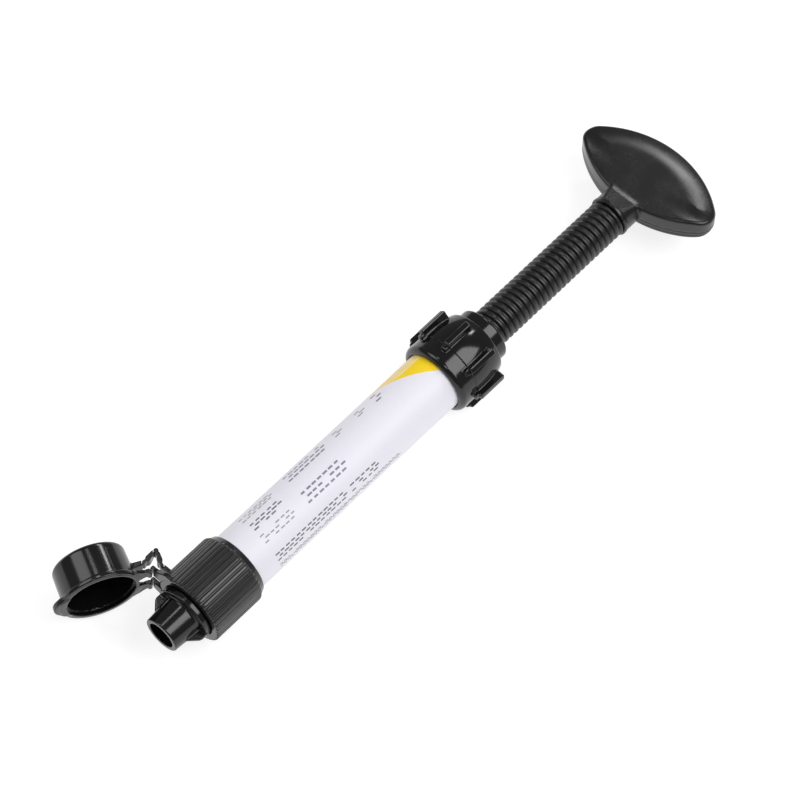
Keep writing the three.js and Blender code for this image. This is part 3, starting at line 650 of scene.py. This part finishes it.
# ---- Collar and nut ----
def collar(x, y, z):
    """The gripping collar: a rounded lip, a fine step, ribs with a low nub in front, and a tapering back."""
    r = np.hypot(y, z)
    step = ramp(x, COLLAR_STEP - 0.04, COLLAR_STEP + 0.02)
    taper = ramp(x, COLLAR_TAPER_START, COLLAR_END) ** 2.2
    outer = COLLAR_LIP_R + (COLLAR_R - COLLAR_LIP_R) * step - COLLAR_TAPER * taper
    body = both(both(COLLAR_FRONT - x, r - outer, 0.95), x - COLLAR_END, 0.2)
    spacing = 2 * math.pi / GRIPS
    angle = (np.arctan2(z, y) + GRIP_PHASE + spacing / 2) % spacing - spacing / 2
    out, side = r * np.cos(angle), r * np.sin(angle)
    bar = both(within(x, GRIP_FRONT, GRIP_END), out - GRIP_R, 0.28)
    nub = both(within(x, NUB_FRONT, GRIP_FRONT + 0.5), out - NUB_R, 0.14)
    grip = both(either(bar, nub, 0.05), np.abs(side) - GRIP_HALF, 0.16)
    grip = both(grip, GRIP_INNER_R - out)
    body = either(body, grip, 0.13)
    bore = np.where(x < COLLAR_SHOULDER, COLLAR_BORE_R, COLLAR_NUT_R)
    return both(body, bore - r, 0.12)


def thread_height(x, angle):
    """0 in the thread's root and 1 on its crest. The root's flat starts each turn."""
    place = (x / PITCH - angle / (2 * np.pi)) % 1.0 * PITCH
    rise = eased(place, ROOT_FLAT - THREAD_SOFT, ROOT_FLAT + FLANK + THREAD_SOFT)
    fall = eased(PITCH - place, 0, FLANK + THREAD_SOFT)
    return rise * fall


def nut(x, y, z):
    """The drive nut: a flanged sleeve with the inside thread that the rod turns in."""
    r = np.hypot(y, z)
    body = both(within(x, NUT_FRONT, NUT_END), r - NUT_R, 0.4)
    body = either(body, both(within(x, NUT_FRONT, NUT_FLANGE_END), r - NUT_FLANGE_R, 0.1), 0.1)
    hole = NUT_HOLE_R + NUT_THREAD * thread_height(x, np.arctan2(z, y))
    hole = hole + 0.5 * ramp(x, NUT_END - 0.5, NUT_END + 0.2)
    return both(body, (hole - r) * 0.8, 0.06)


# ---- Rod, handle and piston ----
def rod():
    """The threaded rod as one winding surface, cut off square, with the neck and ball that push the piston.
    The columns of points lie closest together on the thread's two flanks."""
    per_turn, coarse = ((72, 1))
    front_flank = [0, 0.12, 0.22, 0.27, 0.32, 0.37, 0.42, 0.47, 0.53]
    levels = np.array(front_flank + [0.62, 0.75, 0.86, 0.9, 0.94, 0.98, 1.02, 1.06])[::coarse]
    first = math.floor(ROD_START / PITCH) - 1
    turns = math.ceil(ROD_END / PITCH) + 1 - first
    row = np.arange(turns * per_turn + 1)
    angle = 2 * np.pi * row / per_turn
    columns = np.append(levels, PITCH)
    x = first * PITCH + row[:, None] / per_turn * PITCH + columns[None, :]
    r = ROOT_R + (CREST_R - ROOT_R) * thread_height(x, angle[:, None])
    r = np.minimum(r, ROD_TIP_R + np.maximum(x - ROD_START, 0) * ROD_LEAD)
    points = np.stack([x, r * np.cos(angle)[:, None], r * np.sin(angle)[:, None]], 2)
    wide = len(columns)
    i, j = np.meshgrid(np.arange(len(row) - 1), np.arange(wide - 1), indexing="ij")
    here = i * wide + j
    faces = np.stack([here, here + 1, here + wide + 1, here + wide], 2).reshape(-1, 4)
    made = bmesh.new()
    corners = [made.verts.new(p) for p in points.reshape(-1, 3)]
    for face in faces:
        made.faces.new([corners[k] for k in face])
    bmesh.ops.remove_doubles(made, verts=made.verts, dist=0.002)
    for at, outwards in ((ROD_START, -1), (ROD_END, 1)):
        everything = list(made.verts) + list(made.edges) + list(made.faces)
        bmesh.ops.bisect_plane(made, geom=everything, plane_co=(at, 0, 0), plane_no=(outwards, 0, 0),
                               clear_outer=True)
        rim = [e for e in made.edges if e.is_boundary and all(abs(v.co.x - at) < 1e-4 for v in e.verts)]
        bmesh.ops.contextual_create(made, geom=rim)
    bmesh.ops.recalc_face_normals(made, faces=made.faces)
    made.verts.index_update()
    points = [tuple(v.co) for v in made.verts]
    faces = [[v.index for v in f.verts] for f in made.faces]
    made.free()
    neck = [(BALL_X - BALL_R, 0)] + arc(BALL_X, 0, BALL_R, 170, 42, 14)
    neck += [(45.2, ROD_NECK_R), (ROD_START + 0.6, ROD_NECK_R), (ROD_START + 0.6, 0)]
    spigot = [(ROD_END - 0.5, 0), (ROD_END - 0.5, SPIGOT_R), (SPIGOT_END - 0.2, SPIGOT_R),
              (SPIGOT_END, SPIGOT_R - 0.2), (SPIGOT_END, 0)]
    for outline in (neck, spigot):
        more_points, more_faces = revolved(outline, 48)
        faces += [[i + len(points) for i in face] for face in more_faces]
        points += more_points.tolist()
    return points, faces


def plate_outline(x, y):
    """Distance to the T-handle's lens: two arcs that meet in round tips."""
    middle, offset = (PLATE_NEAR + PLATE_FAR) / 2, PLATE_ARC - (PLATE_FAR - PLATE_NEAR) / 2
    radius = PLATE_ARC - PLATE_TIP_R
    tip_y = math.sqrt(radius ** 2 - offset ** 2)
    along, side = np.abs(x - middle), np.abs(y)
    past_arc = np.arctan2(side, along + offset) > math.atan2(tip_y, offset)
    arcs = np.hypot(along + offset, side) - radius
    return np.where(past_arc, np.hypot(along, side - tip_y), arcs) - PLATE_TIP_R


def handle(x, y, z):
    """The T-handle: a lens-shaped plate whose faces roll off to the far edge, and a round stem with a flat
    facet above and below that slopes down to the plate's faces. The rod plugs into the stem."""
    c, s = math.cos(PLATE_TILT), math.sin(PLATE_TILT)
    y, z = c * y + s * z, c * z - s * y
    r, height = np.hypot(y, z), np.abs(z)
    outline = plate_outline(x, y)
    roll = PLATE_ROLL * ramp(outline, -4.2, 0.2) ** 2 * eased(x, ROLL_START, ROLL_END)
    seam = sum(depth * np.exp(-((z - place) / SEAM_WIDTH) ** 2) for place, depth in SEAMS)
    plate = both(outline + seam, height - PLATE_HALF + roll, 0.5)
    fall = (FACET_HIGH - FACET_LOW) / (STEM_END - STEM_FRONT)
    facet = (height - FACET_HIGH + fall * (x - STEM_FRONT)) / math.hypot(1, fall)
    stem = both(both(r - STEM_R, facet, 0.1), within(x, STEM_STEP - 0.3, STEM_END))
    body = either(plate, stem, 0.15)
    body = either(body, both(within(x, STEM_FRONT, STEM_STEP), r - STEM_DISC_R, 0.12), 0.05)
    socket = both(both(r - SOCKET_R, x - SOCKET_END), STEM_FRONT - 1 - x)
    return both(body, -socket, 0.05)


def piston():
    """The piston: a nose shaped to the barrel's funnel, two wiper lips, a ring groove and a ball socket."""
    big, small = 0.3, 0.2
    outline = [(PISTON_NOSE, 0), (PISTON_NOSE, 0.9)] + arc(PISTON_NOSE + 0.4, 0.9, 0.4, 180, 110)
    outline += [(PISTON_SHOULDER, 2.8), (PISTON_SHOULDER, PISTON_R)]
    outline += arc(PISTON_SHOULDER + big, PISTON_LIP_R - big, big, 180, 90)
    outline += arc(39.7, PISTON_LIP_R - small, small, 90, 20) + [(40.3, PISTON_R), (SLOT_FRONT, PISTON_R)]
    outline += [(SLOT_FRONT, SLOT_R), (SLOT_END, SLOT_R), (SLOT_END, PISTON_R), (44.2, PISTON_R)]
    outline += arc(44.7, PISTON_LIP_R - small, small, 160, 90)
    outline += arc(PISTON_END - big, PISTON_LIP_R - big, big, 90, 0) + [(PISTON_END, 2.2), (45.1, 1.5)]
    outline += arc(BALL_X, 0, BALL_SOCKET_R, 47, 175, 14) + [(BALL_X - BALL_SOCKET_R, 0)]
    return revolved(outline, 96)


def add_rear():
    low, high = (COLLAR_FRONT, -7.6, -7.6), (COLLAR_END, 7.6, 7.6)
    shape = surface_of(collar, low, high, FINE * 1.1)
    add_piece("collar_moulding", shape, GLOSS, "barrel", ["collar"])
    low, high = (NUT_FRONT, -5, -5), (NUT_END, 5, 5)
    add_piece("nut_moulding", surface_of(nut, low, high), GLOSS, "barrel", ["drive_nut"])
    add_piece("threaded_rod", rod(), ROD_FINISH, "screw", ["screw_rod"])
    low, high = (STEM_FRONT, -13, -3.6), (PLATE_FAR, 13, 3.6)
    shape = surface_of(handle, low, high, FINE * 1.2)
    add_piece("handle_moulding", shape, SATIN, "screw", ["t_handle"])
    add_piece("piston_moulding", piston(), NATURAL, "plunger", ["piston"])
    ring = revolved(arc(SEAL_X, SEAL_CENTRE_R, SEAL_R, -15, 195, 24), 96)
    add_piece("seal_ring", ring, RUBBER, "plunger", ["piston_ring"])


build_front()
add_piece("tube_moulding", barrel(), SATIN, "barrel", ["barrel_tube"])
add_label()
add_printing()
add_rear()


# ---- Floor, light and camera ----
def add_floor():
    mesh = bpy.data.meshes.new("floor")
    reach = 1.5
    corners = [(-reach, -reach, 0), (reach, -reach, 0), (reach, reach, 0), (-reach, reach, 0)]
    mesh.from_pydata(corners, [], [(0, 1, 2, 3)])
    floor = bpy.data.objects.new("floor", mesh)
    bpy.context.scene.collection.objects.link(floor)
    material, _, shader, _ = new_material("pale_floor")
    shader.inputs["Base Color"].default_value = (0.35, 0.35, 0.35, 1)
    shader.inputs["Roughness"].default_value = 0.9
    shader.inputs["Specular IOR Level"].default_value = 0.1
    shader.inputs["Emission Color"].default_value = (1, 1, 1, 1)
    shader.inputs["Emission Strength"].default_value = 0.8
    mesh.materials.append(material)


CAMERA_RIGHT = Vector((0.6786, -0.7328, 0.0501)).normalized()
CAMERA_BACK = CAMERA_RIGHT.cross(Vector((0.633, 0.6181, 0.4662))).normalized()
CAMERA_UP = CAMERA_BACK.cross(CAMERA_RIGHT)
CAMERA_PLACE = Vector((34.53, 34.05, 519.5)) * MM     # from the spout's tip: right, up and back


def add_camera():
    """The camera looks down on the syringe from the spout's side, with the spout at the lower left."""
    data = bpy.data.cameras.new("camera")
    data.lens, data.sensor_width = 161.8, 36
    data.clip_start, data.clip_end = 0.01, 10
    camera = bpy.data.objects.new("camera", data)
    bpy.context.scene.collection.objects.link(camera)
    turn = Matrix((CAMERA_RIGHT, CAMERA_UP, CAMERA_BACK)).transposed()
    camera.matrix_world = Matrix.Translation(ORIGIN + turn @ CAMERA_PLACE) @ turn.to_4x4()
    bpy.context.scene.camera = camera


def add_light(name, direction, distance, size, power, target=(0, 0, 0)):
    """A soft square lamp in a direction given in the camera's right, up and back."""
    data = bpy.data.lights.new(name, "AREA")
    data.shape, data.size, data.size_y = "RECTANGLE", size[0], size[1]
    data.energy = power
    lamp = bpy.data.objects.new(name, data)
    bpy.context.scene.collection.objects.link(lamp)
    right, up, back = direction
    towards = (CAMERA_RIGHT * right + CAMERA_UP * up + CAMERA_BACK * back).normalized()
    lamp.location = Vector(target) + towards * distance
    lamp.visible_camera = False
    lamp.rotation_mode = "QUATERNION"
    lamp.rotation_quaternion = towards.to_track_quat("Z", "Y")


def add_world(strength):
    world = bpy.data.worlds.new("studio")
    world.use_nodes = True
    world.node_tree.nodes["Background"].inputs[0].default_value = (1, 1, 1, 1)
    world.node_tree.nodes["Background"].inputs[1].default_value = strength
    bpy.context.scene.world = world


add_floor()
add_camera()
add_world(0.22)
add_light("key", (0.56, 0.27, 0.74), 0.6, (0.4, 0.4), 2.15)
add_light("side", (-0.62, 0.45, 0.64), 0.6, (0.3, 0.3), 0.7)
add_light("front", (-0.06, 0.06, 1.0), 0.5, (0.08, 0.08), 0.14)
add_light("top", (-0.12, 0.72, 0.68), 0.6, (0.08, 0.08), 0.12)
add_light("back", (0.33, 0.91, 0.22), 0.6, (0.16, 0.08), 0.5)
bpy.context.scene.view_settings.view_transform = "Standard"
